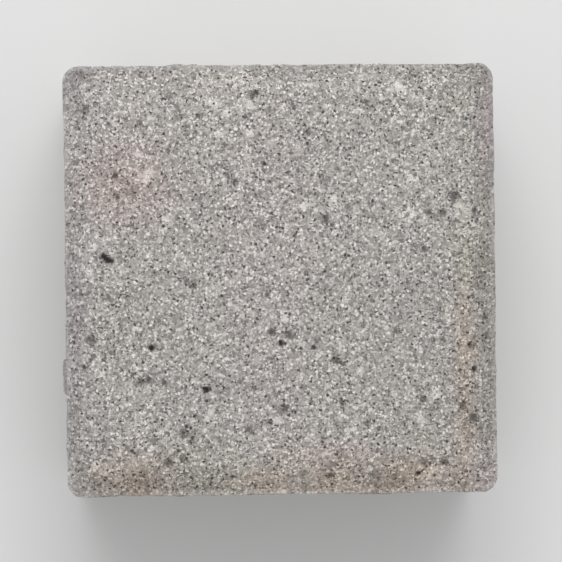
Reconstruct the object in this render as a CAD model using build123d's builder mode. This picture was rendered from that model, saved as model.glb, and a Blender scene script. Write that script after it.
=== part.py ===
from build123d import *

import os
from math import atan2, degrees

# A small square paving stone of pressed concrete, in millimetres.
# The origin is the middle of the bed face, which lies on the ground, and +Z points up.
# The mould gives it upright walls, and the press head gives it the wearing face and its bevel.

# Plan of the stone as it is laid
laying_module = 100.0  # from the middle of one stone to the middle of the next
joint_width = 1.4  # gap between two laid stones
corner_radius = 3.7  # upright corners of the mould

# Height from the bed face to the wearing face
stone_height = 60.0

# Bevel round the wearing face, from the outside inwards
arris_round = 0.4  # worn edge between the wall and the land
land_width = 1.3  # level strip between the wall and the slope
slope_width = 4.6  # slope, up to the line where it would meet the wearing face
slope_drop = 2.3  # height from the land to the wearing face
slope_corner_round = 12.0  # across the slope's corners, about 4.7 in plan
slope_head_round = 7.2  # where the slope runs into the wearing face

# Spacer ribs, one on each side, which keep the joint open
rib_thickness = 1.2  # how far a rib stands out of its side
rib_width = 9.0  # along the side
rib_offset = 22.0  # from the middle of the side to the middle of the rib
rib_depth = 12.0  # from the wearing face down to the top of the rib
rib_lead_in = 4.0  # height of the sloped top of the rib
rib_chamfer = 0.8  # on the upright edges of the rib

stone_side = laying_module - joint_width
land_height = stone_height - slope_drop
slope_foot_side = stone_side - 2 * land_width
slope_draft = degrees(atan2(slope_width, slope_drop))
rib_height = stone_height - rib_depth

# Each rib is drawn from the side, on an upright plane through its middle with x away from the stone.
# A quarter turn takes it to the next side, so the ribs of two stones laid together miss each other.
first_rib_plane = Plane(origin=(stone_side / 2, rib_offset, 0), x_dir=(1, 0, 0), z_dir=(0, -1, 0))
rib_planes = [Plane(Rotation(0, 0, 90 * quarter) * first_rib_plane.location) for quarter in range(4)]


def reach(edge):
    """How far out of the middle of the stone an upright edge stands, along X or Y."""
    return max(abs(edge.center().X), abs(edge.center().Y))


with BuildPart() as paving_stone:
    # The slope and the wearing face on top of it, as the press head leaves them
    with BuildSketch(Plane.XY.offset(land_height)):
        Rectangle(slope_foot_side, slope_foot_side)
    extrude(amount=slope_drop, taper=slope_draft)
    level_edges = edges().filter_by(Plane.XY)
    fillet(edges() - level_edges, slope_corner_round)
    fillet(faces().sort_by(Axis.Z)[-1].edges(), slope_head_round)

    # The body below, with upright walls, and the worn edge round its land
    with BuildSketch(Plane.XY):
        RectangleRounded(stone_side, stone_side, corner_radius)
    extrude(amount=land_height)
    land = faces().filter_by(Plane.XY).sort_by(Axis.Z)[1]
    fillet(land.outer_wire().edges(), arris_round)

    # Spacer ribs, from the bed face up
    with BuildSketch(*rib_planes):
        with BuildLine():
            Polyline(
                (0, 0),
                (rib_thickness, 0),
                (rib_thickness, rib_height - rib_lead_in),
                (0, rib_height),
                close=True,
            )
        make_face()
    extrude(amount=rib_width / 2, both=True)
    rib_front_edges = edges().filter_by(Axis.Z).group_by(reach)[-1]
    chamfer(rib_front_edges, rib_chamfer)

paving_stone.part.label = "paving_stone"

os.makedirs("parts", exist_ok=True)
export_step(paving_stone.part, "parts/paving_stone.step")
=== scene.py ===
# %% [markdown]
# # A paving stone of pressed concrete
# The real stone is made in one stroke. Damp concrete drops into a steel mould, a press head shakes and
# squeezes it, and the mould is drawn up off the block. So it is one piece, with three kinds of surface:
# a dense wearing face under the press head, walls that the mould has dragged along, and a bed face that
# took the print of the board it stood on.
#
# The measured model already has the right size, so it is loaded first and everything else is fitted to
# its box. What is missing is the skin: the sandy relief, the pinholes, the nibbled edges and the colour.

# %% Load the measured model
import math

import bpy
import numpy as np
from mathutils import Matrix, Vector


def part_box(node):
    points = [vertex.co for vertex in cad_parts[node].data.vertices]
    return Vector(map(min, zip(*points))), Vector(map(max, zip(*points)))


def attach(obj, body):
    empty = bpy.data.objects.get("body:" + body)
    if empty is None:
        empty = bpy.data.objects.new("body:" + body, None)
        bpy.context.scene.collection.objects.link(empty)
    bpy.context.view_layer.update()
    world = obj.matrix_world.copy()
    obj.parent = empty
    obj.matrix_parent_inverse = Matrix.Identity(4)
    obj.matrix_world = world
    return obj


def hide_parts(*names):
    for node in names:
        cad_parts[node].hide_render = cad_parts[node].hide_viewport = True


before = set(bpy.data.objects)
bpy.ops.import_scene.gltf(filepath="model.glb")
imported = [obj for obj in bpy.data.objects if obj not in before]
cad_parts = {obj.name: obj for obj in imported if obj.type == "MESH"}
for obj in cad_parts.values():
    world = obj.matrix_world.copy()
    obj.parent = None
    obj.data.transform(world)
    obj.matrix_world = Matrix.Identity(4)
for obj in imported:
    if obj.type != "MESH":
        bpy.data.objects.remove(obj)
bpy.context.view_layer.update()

lowest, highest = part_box("paving_stone")
MM = 0.001  # a millimetre, in the metres of the scene
print("measured stone, mm:", [round((b - a) / MM, 2) for a, b in zip(lowest, highest)])

# %% [markdown]
# ## The profile of the bevel
# Seen in section, the edge of the wearing face has five stretches: the wall, a small worn round, a
# narrow level land, a straight slope, and a wide round that runs into the face. One could bevel a cube,
# but the land and the slope have different corners in plan, so it is clearer to write the height as a
# function of the distance in from the wall and let numpy work it out for every point at once.

# %% Sizes of the stone, in millimetres
# The corners are radii in plan, and the rounds are radii in section
RIB_THICKNESS = 1.2
HALF_SIDE = highest.x / MM - RIB_THICKNESS
HEIGHT = highest.z / MM
WALL_CORNER = 3.7
ARRIS_ROUND = 0.4
LAND_WIDTH = 1.3
SLOPE_WIDTH = 4.6
SLOPE_DROP = 2.3
SLOPE_CORNER = 4.7
HEAD_ROUND = 7.2
BED_ROUND = 0.35

# The wide round touches the slope and the flat at one and the same distance from where they would meet
slope_angle = math.atan2(SLOPE_DROP, SLOPE_WIDTH)
head_tangent = HEAD_ROUND * math.tan(slope_angle / 2)
land_height = HEIGHT - SLOPE_DROP
round_starts = LAND_WIDTH + SLOPE_WIDTH - head_tangent * math.cos(slope_angle)
round_ends = LAND_WIDTH + SLOPE_WIDTH + head_tangent
print("slope, degrees:", round(math.degrees(slope_angle), 1), "bevel ends at, mm:", round(round_ends, 2))


def top_height(inset):
    """Height of the top at a distance in from the wall: level on the land, then a straight slope, then
    an arc of radius HEAD_ROUND whose centre lies straight below the point where the flat begins, and
    from there on the height of the stone."""
    along_slope = land_height + (inset - LAND_WIDTH) * math.tan(slope_angle)
    to_flat = np.clip(round_ends - inset, 0, HEAD_ROUND)
    arc = HEIGHT - HEAD_ROUND + np.sqrt(HEAD_ROUND**2 - to_flat**2)
    return np.where(inset < LAND_WIDTH, land_height, np.where(inset < round_starts, along_slope, arc))


# %% [markdown]
# ## A square grid bent into a rounded square
# A grid with square cells suits a square stone: its lines can follow the bevel all the way round. Each
# ring of the grid keeps its own corner radius, so the land can start with the tight corner of the mould
# and the slope with the wider one of the press head. Lines are placed where the section changes, because
# a crease is only crisp where an edge of the mesh lies on it.

# %% Grid lines and rounded rings
# Cells from the middle of the stone to the bevel, then across its round, its slope and its land
FACE_CELLS = 84
ROUND_CELLS = 7
SLOPE_CELLS = 7
LAND_CELLS = 2
NEVER_ZERO = 1e-9  # takes the place of a distance of zero, by which nothing can be divided

ring_stops = [0] + [HALF_SIDE - inset for inset in (round_ends, round_starts, LAND_WIDTH, ARRIS_ROUND)]
ring_cells = [FACE_CELLS, ROUND_CELLS, SLOPE_CELLS, LAND_CELLS]
stretches = [np.linspace(a, b, n, endpoint=False) for a, b, n in zip(ring_stops, ring_stops[1:], ring_cells)]
half_lines = np.append(np.concatenate(stretches), ring_stops[-1])
lines = np.concatenate([-half_lines[:0:-1], half_lines])
print("grid lines across the top:", len(lines), "smallest step, mm:", round(np.diff(lines).min(), 3))


def corner_radius(ring):
    """Corner radius of a ring, given the distance of its sides from the middle. It grows evenly from none
    in the middle of the stone to that of the slope, keeps that down the slope, shrinks across the land
    to that of the arris, and grows round the arris to that of the mould."""
    at = [0, *ring_stops[2:], HALF_SIDE]
    return np.interp(ring, at, [0, SLOPE_CORNER, SLOPE_CORNER, WALL_CORNER - ARRIS_ROUND, WALL_CORNER])


def round_plan(x, y):
    """Moves a point of a square ring onto the rounded ring of the same size: the ring's corner centre is
    the nearest point of the square that is smaller by the radius, and the point is set at one radius
    from it, in its own direction."""
    ring = np.maximum(np.abs(x), np.abs(y))
    radius = corner_radius(ring)
    core = ring - radius
    core_x, core_y = np.clip(x, -core, core), np.clip(y, -core, core)
    away_x, away_y = x - core_x, y - core_y
    reach = np.maximum(np.hypot(away_x, away_y), NEVER_ZERO)
    return core_x + away_x * radius / reach, core_y + away_y * radius / reach


# %% [markdown]
# ## The wearing face, the walls and the bed face
# The whole skin is one closed surface made of three sheets. The top is the square grid. Its outer ring is
# carried down the wall, ring by ring, like a tube. The bed face is a coarser grid, because it is hardly
# ever seen closely, and a strip of triangles joins the fine ring to the coarse one.
# The ribs are not separate shapes: they are a bump in the tube, where a ring is pushed outwards.

# %% Points of the three sheets
WALL_ROWS = 55
ARRIS_ROWS = 3
BED_ROWS = 2

# In millimetres. Each rib stands off the middle of its side, by the offset.
RIB_WIDTH = 9.0
RIB_OFFSET = 22.0
RIB_HEIGHT = 48.0
RIB_LEAD_IN = 4.0
RIB_FLANK = 0.8
BED_INSET = 1.6  # from the last ring of the tube to the border of the bed

across, up = np.meshgrid(lines, lines, indexing="ij")
top_x, top_y = round_plan(across, up)
top_z = top_height(HALF_SIDE - np.maximum(np.abs(across), np.abs(up)))
top_points = np.stack([top_x, top_y, top_z], -1).reshape(-1, 3)
top_index = np.arange(top_x.size).reshape(top_x.shape)


def border(grid):
    """The border of a square array, once round, counter-clockwise seen from above."""
    return np.concatenate([grid[:-1, 0], grid[-1, :-1], grid[:0:-1, -1], grid[0, :0:-1]])


def rib_bump(along, height):
    """How far the wall is pushed out: the thickness of the rib, less what its sloped flanks and its
    sloped top take off. along is measured from the middle of the side, counter-clockwise."""
    flank = (RIB_WIDTH / 2 - np.abs(along - RIB_OFFSET)) / RIB_FLANK
    top = (RIB_HEIGHT - height) / RIB_LEAD_IN
    return RIB_THICKNESS * np.clip(np.minimum(flank, top), 0, 1)


def wall_rings():
    """Half-size and height of each ring below the top: the worn arris as a quarter circle, the upright
    wall, and the small round at the bed as another quarter circle."""
    arris = np.radians(90 - 90 * np.arange(1, ARRIS_ROWS + 1) / ARRIS_ROWS)
    bed = np.radians(90 * np.arange(1, BED_ROWS + 1) / BED_ROWS)
    wall = np.linspace(land_height - ARRIS_ROUND, BED_ROUND, WALL_ROWS + 1)[1:]
    half = [HALF_SIDE - ARRIS_ROUND * (1 - np.cos(arris)), np.full(WALL_ROWS, HALF_SIDE)]
    half.append(HALF_SIDE - BED_ROUND * (1 - np.cos(bed)))
    height = [land_height - ARRIS_ROUND * (1 - np.sin(arris)), wall, BED_ROUND * (1 - np.sin(bed))]
    return np.concatenate(half), np.concatenate(height)


ring_half, ring_height = wall_rings()
scale = ring_half[:, None] / ring_stops[-1]
square_x, square_y = border(across) * scale, border(up) * scale
tube_x, tube_y = round_plan(square_x, square_y)
tube_z = np.broadcast_to(ring_height[:, None], tube_x.shape)

# The side of the stone that each point is on, as a step outwards along x or y
faces_x = np.abs(square_x) > np.abs(square_y)
side_x = np.where(faces_x, np.sign(square_x), 0)
side_y = np.where(faces_x, 0, np.sign(square_y))
rib_push = rib_bump(side_x * square_y - side_y * square_x, tube_z)
pushed = [tube_x + side_x * rib_push, tube_y + side_y * rib_push, tube_z]
tube_points = np.stack(pushed, -1).reshape(-1, 3)
tube_index = len(top_points) + np.arange(tube_x.size).reshape(tube_x.shape)

# The bed takes every second line, so its border has one point for two of the ring above it
bed_lines = lines[::2] * (ring_half[-1] - BED_INSET) / ring_stops[-1]
bed_across, bed_up = np.meshgrid(bed_lines, bed_lines, indexing="ij")
bed_x, bed_y = round_plan(bed_across, bed_up)
bed_points = np.stack([bed_x, bed_y, np.zeros_like(bed_x)], -1).reshape(-1, 3)
bed_index = len(top_points) + len(tube_points) + np.arange(bed_x.size).reshape(bed_x.shape)

base_points = np.concatenate([top_points, tube_points, bed_points])
print("points:", len(base_points), "rings down the wall:", len(ring_half))


# %% Faces of the three sheets
def sheet_quads(index):
    """Four-sided faces between the lines of an index array, turned to face along its first axis crossed
    with its second."""
    return np.stack([index[:-1, :-1], index[1:, :-1], index[1:, 1:], index[:-1, 1:]], -1).reshape(-1, 4)


# Each ring ends on its first point again, which closes the tube
open_rings = np.concatenate([border(top_index)[None], tube_index])
rings = np.concatenate([open_rings, open_rings[:, :1]], axis=1)

# For each point of the coarse border the ring above has two, so each step round takes three triangles
fine, coarse = tube_index[-1], border(bed_index)
fine_even, fine_odd, fine_next = fine[::2], fine[1::2], np.roll(fine[::2], -1)
coarse_next = np.roll(coarse, -1)
steps = [(fine_even, coarse, fine_odd), (fine_odd, coarse, coarse_next), (fine_odd, coarse_next, fine_next)]
strip = np.concatenate([np.stack(corners, -1) for corners in steps])
quads = np.concatenate([sheet_quads(top_index), sheet_quads(rings), sheet_quads(bed_index.T)])
print("triangles:", 2 * len(quads) + len(strip))

skin = bpy.data.meshes.new("pressed_skin")
skin.from_pydata((base_points * MM).tolist(), [], quads.tolist() + strip.tolist())
skin.update()
normals = np.empty(len(base_points) * 3, np.float32)
skin.vertices.foreach_get("normal", normals)
normals = normals.reshape(-1, 3)

# %% [markdown]
# ## Relief
# Pressed concrete is sand held by cement, so its surface is rough at the size of the grains, and here
# and there a grain or an air bubble has left a pinhole. A Displace modifier could do this, but then each
# kind of surface would need its own texture and mask. Plain arrays are easier to steer: each kind of
# relief is a number of millimetres that a point moves inwards along its normal, and they add up.
# Everything moves inwards, so the stone never grows past its measured size.

# %% Noise
# A turn about a skew axis: each row has length 1 and stands at right angles to the others
LATTICE_TURN = np.array([[0.80, 0.36, -0.48], [-0.60, 0.48, -0.64], [0.00, 0.80, 0.60]])


def noise(points, size, seed):
    """Value noise from -1 to 1: random numbers on a lattice of the given size, which is turned so that it
    doesn't line up with the stone, blended between the eight corners of a cell by 3t^2 - 2t^3."""
    place = points @ LATTICE_TURN.T / size
    cell = np.floor(place).astype(int)
    blend = place - cell
    blend = blend * blend * (3 - 2 * blend)
    cell -= cell.min(0)
    lattice = np.random.default_rng(seed).uniform(-1, 1, cell.max(0) + 2)
    total = np.zeros(len(points))
    for corner in np.ndindex(2, 2, 2):
        weight = np.where(corner, blend, 1 - blend).prod(1)
        total += weight * lattice[tuple((cell + corner).T)]
    return total


print("noise at the first point:", round(float(noise(base_points[:1], 1, seed=0)[0]), 3))


# %% Which surface each point belongs to
FACING = 0.5  # how far upright or down a normal has to point to count in full as top or bed
ARRIS_REACH = 1.2  # mm from the arris at which nearness to it has fallen from 1 to about a third

on_top = np.clip(normals[:, 2] / FACING, 0, 1)
on_bed = np.clip(-normals[:, 2] / FACING, 0, 1)
on_wall = 1 - on_top - on_bed

# How far in from the wall a point of the top lies, in mm. Then how far from the arris every point lies:
# inwards on the top, downwards on the walls, and on the bed so far that it never counts.
inset = np.zeros(len(base_points))
inset[: len(top_points)] = HALF_SIDE - np.maximum(np.abs(across), np.abs(up)).reshape(-1)
from_arris = np.full(len(base_points), HEIGHT)
from_arris[: len(top_points)] = np.clip(inset[: len(top_points)] - ARRIS_ROUND, 0, None)
from_arris[len(top_points) : -len(bed_points)] = (land_height - tube_z).reshape(-1)
near_arris = np.exp(-((from_arris / ARRIS_REACH) ** 2))
print("share on top, walls and bed:", [round(float(part.mean()), 2) for part in (on_top, on_wall, on_bed)])

# %% Sandy relief
SKIN_DEPTH = 0.16  # mm that every point first moves inwards, to leave room for the bumps
EVERYWHERE = 1

# Factors on the place where a noise is read: a tenth in height makes its bumps ten times as tall
AS_IT_IS = np.array([1.0, 1.0, 1.0])
DRAGGED = np.array([1.0, 1.0, 0.10])

# Where, depth in mm, size of the bumps in mm, and how they are drawn out in height
reliefs = (
    (EVERYWHERE, 0.10, 22, AS_IT_IS),
    (on_top, 0.05, 1.2, AS_IT_IS),
    (on_top, 0.03, 2.6, AS_IT_IS),
    (on_wall, 0.15, 1.4, DRAGGED),
    (on_wall, 0.13, 1.9, AS_IT_IS),
    (on_wall, 0.13, 4.6, AS_IT_IS),
    (on_bed, 0.15, 2.4, AS_IT_IS),
    (on_bed, 0.14, 6.5, AS_IT_IS),
    (near_arris, 0.08, 2.2, AS_IT_IS),
    (near_arris, 0.15, 7.5, AS_IT_IS),
)
inwards = np.full(len(base_points), SKIN_DEPTH)
for seed, (where, depth, size, drawn_out) in enumerate(reliefs):
    inwards += where * depth * noise(base_points * drawn_out, size, seed)
print("relief before the hollows, mm:", round(inwards.min(), 3), "to", round(inwards.max(), 3))


# %% [markdown]
# ## Voids, pinholes and bites
# Where the damp concrete didn't pack, the walls are open between the sand grains, and bubbles have left
# round hollows. The wearing face was pressed harder: it has small pinholes and shallow marks, which are
# set one by one where the photograph shows them, and so are its large pale grains. The arris has lost a
# grain here and there. Each hollow could be cut with a Boolean, but hundreds of them are slow to cut and
# easily tear the mesh. Here a hollow is one more number of millimetres by which points move inwards.

# %% Open texture, where the sand didn't pack
# How loosely the concrete is packed, from 0 to 1: its mean, its swing, and the size of the places in mm
LOOSE_MEAN = 0.35
LOOSE_SWING = 1.1
LOOSE_SIZE = 15


def voids(points, size, share, seed):
    """Irregular voids from 0 to 1: noise of the given size, cut off at the level that leaves that share
    of the points open, and stretched from that level to its highest value."""
    field = noise(points, size, seed)
    level = np.quantile(field, 1 - share)
    return np.clip((field - level) / (field.max() - level), 0, 1)


loose = np.clip(LOOSE_MEAN + LOOSE_SWING * noise(base_points, LOOSE_SIZE, seed=20), 0, 1)

# Where, depth in mm, size of the voids in mm, and the share of the points that the noise leaves open
open_textures = (
    (on_top, 0.24, 1.4, 0.015),
    (on_wall * loose, 1.10, 2.3, 0.14),
    (on_wall, 0.60, 1.6, 0.05),
    (on_bed, 0.80, 2.4, 0.10),
    (on_bed * loose, 1.10, 3.2, 0.10),
)
hollows = np.zeros(len(base_points))
for seed, (where, depth, size, share) in enumerate(open_textures, start=21):
    hollows += where * depth * voids(base_points, size, share, seed)
print("share of the points that lie in a void:", round(float((hollows > 0).mean()), 3))


# %% Pinholes, marks and pale grains that the photograph shows
def bell(centre, radius):
    """1 at a centre and 0 outside a radius, as (1 - r^2)^2, with r the distance over that radius."""
    r_squared = ((base_points - centre) ** 2).sum(1) / radius**2
    return np.clip(1 - r_squared, 0, None) ** 2


def on_face(x, y):
    """The point of the wearing face or its bevel above a place in plan, in mm."""
    return np.array([x, y, float(top_height(HALF_SIDE - max(abs(x), abs(y))))])


# Sharp pinholes: across, up, radius and depth, in mm from the middle of the stone
PINHOLES = (
    (-40.3, 5.8, 1.05, 0.70),
    (-39.4, 5.0, 1.20, 0.90),
    (-38.4, 4.6, 0.90, 0.50),
    (-29.6, -15.2, 1.10, 0.85),
    (-17.3, -24.8, 1.10, 0.85),
    (-0.2, -14.4, 1.15, 0.60),
    (7.3, -15.5, 1.10, 0.45),
    (30.9, -44.7, 0.95, 0.60),
    (43.0, -15.3, 0.95, 0.50),
    (44.0, -20.8, 1.00, 0.70),
)

# Marks, which are wider and all equally shallow: across, up and radius
MARK_DEPTH = 0.27
MARKS = (
    (-2.2, -12.0, 2.1),
    (1.6, -12.5, 1.9),
    (-3.0, -3.4, 1.3),
    (12.2, -18.6, 1.9),
    (13.9, -19.3, 1.2),
    (-43.4, -13.2, 2.2),
    (-32.2, -23.0, 1.9),
    (-30.2, -22.6, 1.4),
    (-34.0, -21.2, 1.3),
    (-26.8, -23.2, 1.4),
    (-22.4, -34.7, 2.0),
    (-20.8, -36.7, 1.6),
    (-22.5, -40.6, 2.0),
    (-26.0, -41.2, 2.0),
    (-37.3, 24.1, 1.5),
    (-37.0, 19.2, 1.4),
    (-11.9, 23.7, 1.6),
    (-10.3, 22.4, 1.6),
    (-6.0, 42.2, 1.8),
    (-4.9, 43.0, 1.2),
    (-20.0, -1.2, 1.8),
    (-21.7, -0.3, 1.2),
    (10.1, 13.8, 1.9),
    (39.7, 18.8, 2.3),
    (34.0, 15.1, 1.5),
    (37.0, 15.1, 1.7),
    (6.5, 33.5, 1.6),
    (-44.3, 39.7, 1.6),
    (-7.5, -34.1, 1.8),
    (0.5, -29.2, 1.8),
    (13.5, -28.3, 1.4),
    (32.3, -27.5, 1.7),
    (34.6, -14.3, 1.4),
    (37.0, -14.1, 1.4),
    (36.2, -7.4, 1.4),
    (32.8, 6.7, 1.3),
    (19.7, 40.4, 1.3),
    (-31.8, 35.8, 1.4),
    (-18.5, 37.4, 1.3),
    (-3.6, 26.4, 1.4),
    (19.4, -32.8, 1.4),
    (22.0, -34.4, 1.2),
    (41.3, -29.1, 1.7),
    (43.8, -32.0, 2.1),
    (32.2, -41.9, 1.9),
    (36.9, -42.0, 1.8),
    (10.9, -45.0, 1.8),
    (-40.6, -36.2, 1.3),
    (-6.5, -24.4, 1.4),
    (44.6, 15.4, 1.6),
    (46.8, -9.0, 1.4),
    (26.2, -11.9, 1.3),
    (-20.0, -30.7, 1.2),
    (-43.6, -17.9, 1.2),
    (-45.3, -19.4, 1.3),
)

# Large pale grains: across, up and radius. Each covers the sand at its middle by the share.
PALE_SHARE = 0.8
PALE_GRAINS = (
    (27.9, 43.2, 2.1),
    (26.9, 44.5, 1.5),
    (7.3, 44.4, 1.3),
    (-6.8, 40.0, 2.0),
    (-14.4, 40.2, 2.0),
    (-11.9, 38.2, 2.1),
    (-13.8, 33.4, 2.0),
    (-6.8, 33.2, 1.5),
    (-29.9, 24.9, 2.0),
    (-30.4, 23.1, 1.7),
    (33.2, 26.3, 1.5),
    (29.8, 22.4, 1.3),
    (12.4, 18.2, 2.1),
    (5.4, 16.7, 1.7),
    (30.0, 14.9, 2.2),
    (40.9, 16.4, 1.8),
    (42.9, 15.0, 1.8),
    (43.6, 12.8, 1.6),
    (-42.6, 8.2, 1.6),
    (-43.8, 2.4, 1.5),
    (0.8, -7.5, 1.5),
    (0.9, -9.1, 1.3),
    (17.8, -20.9, 1.5),
    (35.1, -26.7, 2.1),
    (-16.2, -29.9, 1.6),
    (-17.3, -31.5, 1.4),
    (-1.2, -32.0, 1.6),
    (31.7, -32.2, 1.6),
    (16.3, -34.1, 1.5),
    (-42.5, -41.5, 1.5),
    (33.3, -45.0, 1.6),
)

for x, y, radius, depth in PINHOLES:
    hollows += depth * bell(on_face(x, y), radius)
for x, y, radius in MARKS:
    hollows += MARK_DEPTH * bell(on_face(x, y), radius)
pale_grains = np.zeros(len(base_points))
for x, y, radius in PALE_GRAINS:
    pale_grains += PALE_SHARE * bell(on_face(x, y), radius)
print("pinholes:", len(PINHOLES), "marks:", len(MARKS), "pale grains:", len(PALE_GRAINS))

# %% Bubbles in the walls and the bed, and bites out of the arris
# A point can be the middle of a hollow if it belongs to that surface by more than this
WELL_WITHIN = 0.95
ON_THE_ARRIS = 0.9

# Depth is in parts of the radius. A random number from 0 to 1, raised to the power, sets each radius
# between the smallest and the largest, so a higher power leaves fewer large ones.
# Where, how many, smallest and largest radius in mm, depth, and power
bubbles = (
    (on_wall > WELL_WITHIN, 70, 0.8, 2.0, 0.7, 3),
    (on_bed > WELL_WITHIN, 60, 1.2, 2.6, 0.7, 3),
)
bites = ((near_arris > ON_THE_ARRIS, 24, 0.8, 1.8, 0.3, 2),)
dice = np.random.default_rng(seed=7)


def scatter(kinds):
    """Depth of rounded hollows whose centres are drawn at random from the points of a surface: each is
    its depth times its radius at its centre, and has the form of a bell."""
    total = np.zeros(len(base_points))
    for where, count, smallest, largest, depth, power in kinds:
        for centre in base_points[dice.choice(np.flatnonzero(where), count)]:
            radius = smallest + (largest - smallest) * dice.random() ** power
            total += depth * radius * bell(centre, radius)
    return total


hollows += scatter(bubbles)
bitten = scatter(bites)

depth = np.clip(inwards + hollows + bitten, 0, None)
skin_points = base_points - depth[:, None] * normals

# However its normal leans, no point may sink below the bed or rise above the face
skin_points[:, 2] = np.clip(skin_points[:, 2], 0, HEIGHT)
print("deepest relief, mm:", round(depth.max(), 2), "mean:", round(depth.mean(), 3))

# %% [markdown]
# ## Stains and painted shade
# A stone that has lain outside isn't one grey. Its tone drifts from side to side, and there are faint blushes
# on the face. The bevel is darker at the foot of its slope, partly from silt and partly as painted shade. It
# is brown along the lower side and darker grey along the right, partly from stains and partly as painted warm
# shade, and it has a painted cool tint of sky light along the left.
# These belong to places on this stone, so they are worked out here and stored with the points, as a colour
# attribute that the material multiplies its concrete by, together with the painted light and shade of the
# cells below. White there means no stain and no painted shade.

# %% Colours
def paint(code):
    """A colour as it is written, #RRGGBB in sRGB, turned to the linear numbers that a shader uses: each
    part over 12.92 if it is very dark, and otherwise (part + 0.055) / 1.055 to the power 2.4."""
    parts = np.array([int(code[i : i + 2], 16) for i in (1, 3, 5)]) / 255
    linear = np.where(parts <= 0.04045, parts / 12.92, ((parts + 0.055) / 1.055) ** 2.4)
    return (*linear.tolist(), 1.0)


print("mid grey, linear:", [round(part, 3) for part in paint("#808080")])

# %% Places on the wearing face
# In mm in from the wall: the foot of the slope and its reach, the place where the bevel begins to fade
# into the face and the reach of that, and the reach of the rim
FOOT_AT = 1.9
FOOT_REACH = 2.2
BEVEL_FROM = 4.5
BEVEL_FADES = 4.5
RIM_REACH = 1.2
OVER_ARRIS = 3.0  # mm below the arris at which a stain of the face has faded to about a third

# How much a point belongs to a side of the stone grows from 0 to 1 between these distances from the
# middle, in half sides
SIDE_STARTS = 0.74
SIDE_FULL = 0.94
MOSTLY = 0.5  # a point that belongs to a place by more than this counts as part of it

# The top, and the wall just below it
near_face = on_top + on_wall * np.exp(-((from_arris / OVER_ARRIS) ** 2))


def patches(places):
    """Soft patches on the face, added up. Each is its strength at its middle, and falls off round it as
    exp(-(across / wide)^2 - (up / high)^2). They run over the arris and fade down the wall."""
    total = np.zeros(len(base_points))
    for x, y, wide, high, strength in places:
        away = ((base_points[:, 0] - x) / wide) ** 2 + ((base_points[:, 1] - y) / high) ** 2
        total += strength * np.exp(-away)
    return total * near_face


# How much a point lies in the bevel, at its foot and on its rim: exp(-x^2) or, for a sharper end,
# exp(-x^4), with x the distance from that place over its reach
in_bevel = np.exp(-((np.clip(inset - BEVEL_FROM, 0, None) / BEVEL_FADES) ** 2)) * on_top
foot = np.exp(-(((inset - FOOT_AT) / FOOT_REACH) ** 2)) * on_top
edge = np.exp(-((inset / RIM_REACH) ** 4)) * on_top
rightwards, upwards = base_points[:, 0] / HALF_SIDE, base_points[:, 1] / HALF_SIDE
sides = (rightwards, -rightwards, upwards, -upwards)
east, west, north, south = [np.clip((side - SIDE_STARTS) / (SIDE_FULL - SIDE_STARTS), 0, 1) for side in sides]
print("share of the points in the bevel:", round(float((in_bevel > MOSTLY).mean()), 2))

# %% Where the stains and the painted shade lie
UNEVEN_SIZE = 6  # mm
UNEVEN_MEAN = 0.85
UNEVEN_SWING = 0.5

# Patches, each with across and up in mm from the middle, reach across and up, and strength
BROWN = (
    (-35, -45, 9, 6, 0.90),
    (3, -45.5, 9, 5, 0.62),
    (14, -46, 8, 4.5, 0.55),
    (29.5, -45, 9, 6, 0.85),
    (41.8, -24, 2.7, 20, 1.00),
    (2, -47, 40, 4, 0.38),
)
OLIVE = ((-18, -45, 9, 6, 1.00), (42.5, 4, 4, 10, 0.60), (41, 38, 3, 9, 0.20))
LILAC = ((47, -45, 5, 6, 0.70), (-48, 48, 5, 5, 0.45), (48, 36, 3, 10, 0.80), (-48, -11, 2.5, 10, 0.60))
BLUSH = ((-36, 22, 9.5, 8.5, 1.20), (13, -40, 8, 2.5, 0.80))
GREENISH = ((-34, -7, 9, 12, 0.90), (14, -22, 8, 14, 0.70), (33, -32, 9, 7, 0.80), (32, 30, 9, 16, 0.60))
ROSY = ((-3, 5, 8, 24, 0.90), (-2, -28, 6, 10, 0.60))

# Darker at the foot of the slope, partly silt and partly painted shade, along the right, left, upper and
# lower side of the bevel
FOOT_DIRT_AND_SHADE_SHARES = (0.40, 0.35, 0.35, 0.10)

# Stains are strong in one place and weak in the next
uneven = UNEVEN_MEAN + UNEVEN_SWING * noise(base_points, UNEVEN_SIZE, seed=30)
foot_dirt_and_shade = foot * sum(share * side for share, side in zip(FOOT_DIRT_AND_SHADE_SHARES, (east, west, north, south)))

# How strong each stain or painted shade is, where it lies, and its colour at full strength
stains_and_shades = (
    # Brown, partly stains and partly a painted warm shade along the lower and right sides of the bevel
    (0.47, patches(BROWN) * uneven, "#FFE6CC"),
    (0.48, patches(OLIVE) * uneven, "#F4FBE6"),
    # Darker at the foot of the slope, partly silt and partly painted shade
    (1.00, foot_dirt_and_shade * uneven, "#D2D1CD"),
    # The right side of the bevel darker, partly a stain and partly painted shade
    (0.30, in_bevel * east * uneven, "#D6D4CC"),
    # A painted cool tint of sky light along the left side of the bevel
    (0.20, in_bevel * west, "#EEF4FF"),
    (1.00, patches(LILAC), "#FCF6FF"),
    (1.00, patches(BLUSH), "#FFF5F5"),
    (0.50, patches(GREENISH), "#F8FFF8"),
    (0.50, patches(ROSY), "#FFF8FC"),
)

# Each entry, stain or painted shade, multiplies the colour by its own where it is at full strength, and by 1
# where there is none
stain_and_shade = np.ones((len(base_points), 4))
for strength, where, code in stains_and_shades:
    stain_and_shade[:, :3] *= 1 - strength * where[:, None] * (1 - np.array(paint(code)[:3]))
print("stained, mean red, green, blue:", stain_and_shade[:, :3].mean(0).round(3))

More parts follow.
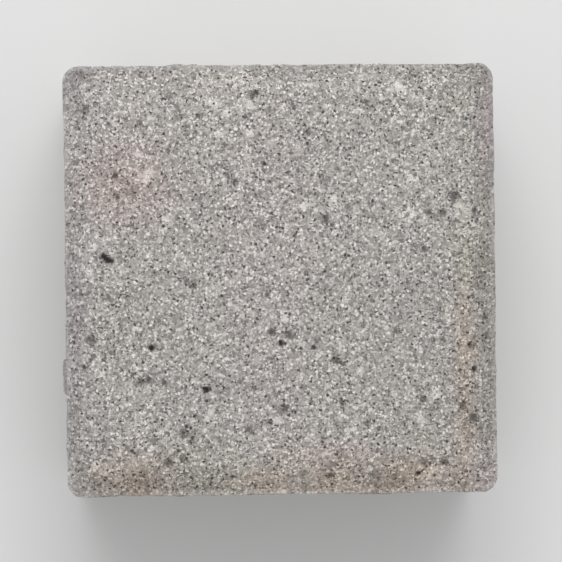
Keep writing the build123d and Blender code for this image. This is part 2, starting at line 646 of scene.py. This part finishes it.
# %% Lighter and darker places, with painted light and painted shade among them
# Patches paler than the rest, and with a minus, darker
TONED_PLACES = (
    (-10, 46, 8, 5, 0.12),
    (-46.5, 45, 4, 5, 0.12),
    (-48, -23, 3, 9, 0.10),
    (46, -44, 5, 6, 0.24),
    (-44.5, 8, 2.5, 3, 0.08),
    (-44.5, 2, 2.5, 2.5, 0.10),
    (-46, -1.8, 3, 2, -0.08),
    (-40, -43.5, 4, 2.5, 0.06),
    (2, -46, 40, 3, 0.03),
    (34, -45.5, 3, 2.5, 0.08),
    (-32, -46, 3, 2.5, -0.10),
    (-17, -46, 5, 2, -0.06),
    (23.5, -46.3, 4, 2, -0.10),
    (39.5, -46, 2.5, 2, -0.08),
)

# The shares by which the rim and the ribs are paler than the rest and the flanks of the ribs darker, the last
# a painted shade. From its middle, the face grows paler upwards, towards the lamp, and darker downwards, by
# the share at its upper and lower edge: a painted light.
EDGE_PALER = 0.10
UPPER_PAINTED_LIGHT = 0.027
RIB_PALER = 0.05
FLANK_PAINTED_SHADE = 0.14

# Clouds over the whole stone, streaks and blotches on the walls, and blotches in the bevel: where they
# lie, their swing to either side, their size in mm, and how they are drawn out in height
clouds = (
    (EVERYWHERE, 0.036, 12, AS_IT_IS),
    (EVERYWHERE, 0.03, 30, AS_IT_IS),
    (on_wall, 0.06, 2.5, DRAGGED),
    (on_wall, 0.05, 7, AS_IT_IS),
    (in_bevel * (south + west), 0.15, 7, AS_IT_IS),
)
paler = patches(TONED_PLACES) + UPPER_PAINTED_LIGHT * upwards * on_top + EDGE_PALER * edge
for seed, (where, swing, size, drawn_out) in enumerate(clouds, start=31):
    paler += where * swing * noise(base_points * drawn_out, size, seed)

# Ribs stand out, so they are rubbed pale, and their flanks get a painted shade, where 4 x (1 - x) peaks
rib = np.zeros(len(base_points))
rib[len(top_points) : -len(bed_points)] = rib_push.reshape(-1) / RIB_THICKNESS
paler += RIB_PALER * rib - FLANK_PAINTED_SHADE * 4 * rib * (1 - rib)

stain_and_shade[:, :3] *= 1 + paler[:, None]
print("tone of the points, from", round(1 + paler.min(), 2), "to", round(1 + paler.max(), 2))

# %% [markdown]
# ## One object for the stone
# The dressed skin takes the place of the plain measured solid. Besides the stains and painted shade, it
# carries three numbers per point: how deep the hollows are, because the material paints them dark as the
# shade inside them, where the large pale grains lie, and how much cement skin is left. Use has worn that skin
# off the face, so the sand shows there, but the walls still have much of it.

# %% Build the object
# Share of cement skin left on the walls and the rim, how far below the arris wear reaches in mm, and the
# size in mm and the swing of the patches in which the skin comes off
WALL_SKIN = 0.48
EDGE_SKIN = 0.45
WORN_BELOW_ARRIS = 3.0
SKIN_PATCHES = 9
SKIN_SWING = 0.5

# Depth in mm at which the painted shade of a hollow is as dark as it gets, and the share of it taken off in
# the walls, where the mesh shades the voids itself
DARK_ON_TOP = 0.35
DARK_ON_WALLS = 0.9
SHADE_CUT_ON_WALLS = 0.2

skin.vertices.foreach_set("co", (skin_points * MM).astype(np.float32).ravel())
skin.shade_smooth()
skin.update()
stone = bpy.data.objects.new("pressed_concrete_stone", skin)
bpy.context.scene.collection.objects.link(stone)

# The skin is worn off the top and comes back down the wall as 1 - exp(-x^2), with x the distance from
# the arris over how far the wear reaches
unworn = (1 - on_top) * (1 - np.exp(-((from_arris / WORN_BELOW_ARRIS) ** 2)))
patchy = 1 + SKIN_SWING * noise(base_points, SKIN_PATCHES, seed=36)
dark_from = np.where(on_top > MOSTLY, DARK_ON_TOP, DARK_ON_WALLS)
# The hollow number tells the material where to paint the shade inside the hollows, weaker in the walls
for name, values in (
    ("cement_skin", WALL_SKIN * unworn * patchy + EDGE_SKIN * edge),
    ("hollow", np.clip(hollows / dark_from, 0, 1) * (1 - SHADE_CUT_ON_WALLS * on_wall)),
    ("pale_grain", np.clip(pale_grains, 0, 1)),
):
    layer = skin.attributes.new(name, "FLOAT", "POINT")
    layer.data.foreach_set("value", values.astype(np.float32))
layer = skin.attributes.new("stain_and_shade", "FLOAT_COLOR", "POINT")
layer.data.foreach_set("color", stain_and_shade.astype(np.float32).ravel())

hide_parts("paving_stone")
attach(stone, "root")
print("triangles of the stone:", sum(len(face.vertices) - 2 for face in skin.polygons))

# %% [markdown]
# ## Concrete
# Grey Portland cement round crushed sand. Close up it is salt and pepper: pale quartz, mid-grey
# limestone and a few dark grains in a mouse-grey paste, with pinprick pores between them. The paste is
# quite dull, and only the broken faces of the quartz have a little gloss. The grains are the cells of
# Voronoi textures, cut down to specks of random size, with the paste showing between them. Round specks
# look like printed dots, so the place where the textures are read is first shifted by a fine noise,
# which makes every grain a different shape. A photograph of concrete wrapped round the stone would do
# for the top, but these patterns are solid, so they run through the edges as the real sand does.

# %% Helpers for materials
# A number stored with the points begins to show at the first level, and from the second it shows in full
CUT_FROM = 0.15
CUT_TO = 0.40


def add(tree, kind, inputs=(), stops=(), **settings):
    """Adds one node. inputs gives its sockets by name or number, each with a value or with the socket
    that feeds it, and stops gives a colour ramp its places and colours, the two ends first."""
    node = tree.nodes.new(kind)
    for name, value in settings.items():
        setattr(node, name, value)
    for socket, value in dict(inputs).items():
        if isinstance(value, bpy.types.NodeSocket):
            tree.links.new(value, node.inputs[socket])
        else:
            node.inputs[socket].default_value = value
    for number, (place, colour) in enumerate(stops):
        elements = node.color_ramp.elements
        element = elements[number] if number < 2 else elements.new(place)
        element.position = place
        element.color = paint(colour)
    return node


def per_metre(size_mm):
    """Texture scale for a pattern whose cells are that many millimetres across."""
    return 1 / (size_mm * MM)


def specks(tree, place, spacing, smallest, largest, edge):
    """Specks, one in each cell of a Voronoi pattern. A point's mask is how far it lies inside the radius
    of its speck, over the width of the edge. A random number sets each radius between smallest and
    largest, and below zero there is no speck. All three are parts of the spacing, which is in
    millimetres. Gives the mask and another random number for each speck."""
    cells = add(tree, "ShaderNodeTexVoronoi", {"Vector": place, "Scale": per_metre(spacing)})
    chance = add(tree, "ShaderNodeSeparateColor", {"Color": cells.outputs["Color"]}).outputs
    sizes = {"Value": chance["Green"], "To Min": smallest, "To Max": largest}
    radius = add(tree, "ShaderNodeMapRange", sizes)
    depth = {0: radius.outputs["Result"], 1: cells.outputs["Distance"]}
    inside = add(tree, "ShaderNodeMath", depth, operation="SUBTRACT").outputs[0]
    mask = add(tree, "ShaderNodeMapRange", {"Value": inside, "From Max": edge})
    return mask.outputs["Result"], chance["Red"]


def ragged(tree, name, unevenness, edge_noise):
    """Mask of a number stored with the points, cut off at a level so that its edge is sharp. A noise round
    zero is added first, so the edge wanders in and out between the grains. Inside, the mask is the
    number itself."""
    stored = add(tree, "ShaderNodeAttribute", attribute_name=name).outputs["Fac"]
    round_zero = {0: unevenness, 1: edge_noise, 2: -edge_noise / 2}
    centred = add(tree, "ShaderNodeMath", round_zero, operation="MULTIPLY_ADD").outputs[0]
    lifted = add(tree, "ShaderNodeMath", {0: stored, 1: centred}, operation="ADD").outputs[0]
    cut = {"Value": lifted, "From Min": CUT_FROM, "From Max": CUT_TO, "To Max": stored}
    return add(tree, "ShaderNodeMapRange", cut).outputs["Result"]


print("texture scale for cells of 1 mm:", round(per_metre(1)))

# %% Where the patterns are read, and the cement paste
PATTERN_TURN = (0.62, 0.41, 0.27)  # so that no face cuts the cells of a pattern along their rows
JITTER_SIZE = 0.6  # mm
JITTER_REACH = 0.95  # mm between the two ends of the shift
PASTE_MOTTLE = 0.7  # mm, because real paste is mottled below 0.1 mm, which is too fine to show

concrete = bpy.data.materials.new("pressed_concrete")
concrete.use_nodes = True
tree = concrete.node_tree
tree.nodes.clear()
position = add(tree, "ShaderNodeTexCoord").outputs["Object"]
turned = add(tree, "ShaderNodeMapping", {"Vector": position, "Rotation": PATTERN_TURN}).outputs[0]
jitter = add(tree, "ShaderNodeTexNoise", {"Vector": turned, "Scale": per_metre(JITTER_SIZE), "Detail": 1.0})
shift = {0: jitter.outputs["Color"], 1: (JITTER_REACH * MM,) * 3, 2: turned}
place = add(tree, "ShaderNodeVectorMath", shift, operation="MULTIPLY_ADD").outputs[0]
mottle = add(
    tree,
    "ShaderNodeTexNoise",
    {"Vector": turned, "Scale": per_metre(PASTE_MOTTLE), "Detail": 2.5, "Roughness": 0.85},
)
paste = add(
    tree,
    "ShaderNodeValToRGB",
    {"Fac": mottle.outputs["Fac"]},
    [(0.25, "#6B6867"), (0.75, "#EFE9E5"), (0.5, "#AFAAA6")],
)
print("nodes up to the paste:", len(tree.nodes))

# %% Sand: fine grains of every grey, a few coarse ones, and pale quartz
# Spacing of the grains in mm. Real fine sand goes down to 0.1 mm, which would blur to one flat grey here,
# so it is drawn coarser.
FINE_SAND = 0.62
COARSE_SAND = 1.15
QUARTZ = 0.95

fine_mask, fine_chance = specks(tree, place, FINE_SAND, smallest=0.35, largest=0.90, edge=0.15)
coarse_mask, coarse_chance = specks(tree, place, COARSE_SAND, smallest=-0.60, largest=0.50, edge=0.06)
quartz_mask = specks(tree, place, QUARTZ, smallest=-0.05, largest=0.42, edge=0.12)[0]
fine_tone = add(
    tree,
    "ShaderNodeValToRGB",
    {"Fac": fine_chance},
    [(0.0, "#727070"), (1.0, "#E8E2DD"), (0.5, "#B1ABA6")],
)
coarse_tone = add(
    tree,
    "ShaderNodeValToRGB",
    {"Fac": coarse_chance},
    [(0.0, "#8F8A88"), (1.0, "#DCD6D2"), (0.5, "#B9B4B0")],
)

# Masks and colours of the layers over the paste, the lowest first
layers = [
    (fine_mask, fine_tone.outputs["Color"]),
    (coarse_mask, coarse_tone.outputs["Color"]),
    (quartz_mask, paint("#F4EEEA")),
]
print("nodes up to the sand:", len(tree.nodes))

# %% Pores, the cement skin over them, and the pits and grains of this stone
PORE_SPACING = 0.85  # mm
EDGE_NOISE = 2.4  # how far apart a noise from 0 to 1 moves the number that it is added to

pore_mask = specks(tree, place, PORE_SPACING, smallest=-0.05, largest=0.42, edge=0.12)[0]

# A pit, painted as the shade inside a hollow, spreads where the paste is dark, a pale grain where it is pale
pit_shade = ragged(tree, "hollow", mottle.outputs["Fac"], -EDGE_NOISE)
pale = ragged(tree, "pale_grain", mottle.outputs["Fac"], EDGE_NOISE)
skin_left = add(tree, "ShaderNodeAttribute", attribute_name="cement_skin").outputs["Fac"]
layers += [
    (pale, paint("#EEE9E4")),
    # The pores are painted dark, as the shade inside them, and the pits below darker still
    (pore_mask, paint("#504D4B")),
    (skin_left, paint("#ACA9A7")),
    (pit_shade, paint("#312E2C")),
]

# Each layer covers those below it as far as its mask goes. Sockets 6 and 7 of a Mix node are the colours
# that it mixes, and output 2 is the mixed one.
colour = paste.outputs["Color"]
for mask, cover in layers:
    mixed = add(tree, "ShaderNodeMix", {"Factor": mask, 6: colour, 7: cover}, data_type="RGBA")
    colour = mixed.outputs[2]
print("layers over the paste:", len(layers), "nodes up to the pits:", len(tree.nodes))

# %% Stain, relief too fine for the mesh, and the dull finish
GRAIN_HEIGHT = 0.14  # mm
PASTE_ROUGHNESS = 0.94
QUARTZ_ROUGHNESS = 0.70

# The stored colour holds the stains, and also the painted light and shade of the face, the bevel and the ribs
stain_and_shade_colour = add(tree, "ShaderNodeAttribute", attribute_name="stain_and_shade").outputs["Color"]
stained_and_shaded = add(
    tree,
    "ShaderNodeMix",
    {"Factor": 1.0, 6: colour, 7: stain_and_shade_colour},
    data_type="RGBA",
    blend_type="MULTIPLY",
)
proud = add(tree, "ShaderNodeMath", {0: fine_mask, 1: coarse_mask}, operation="MAXIMUM").outputs[0]
rough = add(tree, "ShaderNodeMath", {0: mottle.outputs["Fac"], 1: proud}, operation="ADD").outputs[0]
relief = add(tree, "ShaderNodeMath", {0: rough, 1: pore_mask}, operation="SUBTRACT").outputs[0]
grain_bump = add(tree, "ShaderNodeBump", {"Height": relief, "Distance": GRAIN_HEIGHT * MM, "Strength": 1.0})
dull_to_glossy = {"Value": quartz_mask, "To Min": PASTE_ROUGHNESS, "To Max": QUARTZ_ROUGHNESS}
roughness = add(tree, "ShaderNodeMapRange", dull_to_glossy).outputs["Result"]
finish = {"Base Color": stained_and_shaded.outputs[2], "Roughness": roughness, "Normal": grain_bump.outputs["Normal"]}
shader = add(tree, "ShaderNodeBsdfPrincipled", finish)
add(tree, "ShaderNodeOutputMaterial", {"Surface": shader.outputs["BSDF"]})
skin.materials.append(concrete)
print("nodes in the concrete:", len(tree.nodes))

# %% [markdown]
# ## Floor, light and camera
# The stone is shown from straight above, which is how it is seen once laid. Daylight comes from all over
# the sky and a little more from the far side, so the world gives over half the light and one wide lamp
# the rest, from beyond the upper edge of the picture. A small sun would be simpler, but its hard shadows
# make pressed concrete look like gravel. Together the two light a level surface so that a colour renders
# about as it is written. The floor is painted a matt pale grey, which throws no colour onto the stone.
# The camera stands a little left of the middle, looks at the middle and is turned by under a degree, like
# the one that took the photograph.

# %% Floor
FLOOR_REACH = 3.0  # metres from the middle to each edge
FLOOR_ROUGHNESS = 0.9

floor_mesh = bpy.data.meshes.new("floor")
floor_corners = [(-FLOOR_REACH, -FLOOR_REACH, 0), (FLOOR_REACH, -FLOOR_REACH, 0)]
floor_corners += [(FLOOR_REACH, FLOOR_REACH, 0), (-FLOOR_REACH, FLOOR_REACH, 0)]
floor_mesh.from_pydata(floor_corners, [], [(0, 1, 2, 3)])
floor = bpy.data.objects.new("floor", floor_mesh)
bpy.context.scene.collection.objects.link(floor)
floor_paint = bpy.data.materials.new("floor_paint")
floor_paint.use_nodes = True
floor_finish = floor_paint.node_tree.nodes["Principled BSDF"].inputs
floor_finish["Base Color"].default_value = paint("#E8E8E8")
floor_finish["Roughness"].default_value = FLOOR_ROUGHNESS
floor_mesh.materials.append(floor_paint)
print("floor, metres across:", 2 * FLOOR_REACH)

# %% Light
SKY_SHARE = 0.58  # of the light on a level surface
LAMP_FROM_UPRIGHT = math.radians(35)
LAMP_DISTANCE = 1.2  # metres
LAMP_SIZE = 0.8  # metres

world = bpy.data.worlds.new("soft_sky")
world.use_nodes = True
bpy.context.scene.world = world
world.node_tree.nodes["Background"].inputs["Color"].default_value = (1, 1, 1, 1)
world.node_tree.nodes["Background"].inputs["Strength"].default_value = SKY_SHARE

lamp_data = bpy.data.lights.new("soft_lamp", "AREA")
lamp_data.size = LAMP_SIZE

# At a distance, a lamp of so many watts lights a surface that faces it like a white sky of strength
# watts / (pi x distance)^2, and a level surface less than that, by the cosine of its slant
lamp_data.energy = (1 - SKY_SHARE) * math.pi**2 * LAMP_DISTANCE**2 / math.cos(LAMP_FROM_UPRIGHT)
lamp = bpy.data.objects.new("soft_lamp", lamp_data)
lamp.location = (0, LAMP_DISTANCE * math.sin(LAMP_FROM_UPRIGHT), LAMP_DISTANCE * math.cos(LAMP_FROM_UPRIGHT))
lamp.rotation_euler = (-LAMP_FROM_UPRIGHT, 0, 0)
bpy.context.scene.collection.objects.link(lamp)
print("lamp, W:", round(lamp_data.energy, 2))

# %% Camera
CAMERA_DISTANCE = 0.70  # metres
FRAME_WIDTH = 0.128  # metres across the picture, at that distance
CAMERA_LEAN = math.radians(2.0)
CAMERA_ROLL = math.radians(-0.64)

camera_data = bpy.data.cameras.new("camera")
camera_data.lens = camera_data.sensor_width * CAMERA_DISTANCE / FRAME_WIDTH
camera = bpy.data.objects.new("camera", camera_data)
camera_height = highest.z + CAMERA_DISTANCE * math.cos(CAMERA_LEAN)
camera.location = (-CAMERA_DISTANCE * math.sin(CAMERA_LEAN), 0, camera_height)
camera.rotation_euler = (0, -CAMERA_LEAN, CAMERA_ROLL)
bpy.context.scene.collection.objects.link(camera)
bpy.context.scene.camera = camera
bpy.context.scene.view_settings.view_transform = "Standard"
print("lens, mm:", round(camera_data.lens))
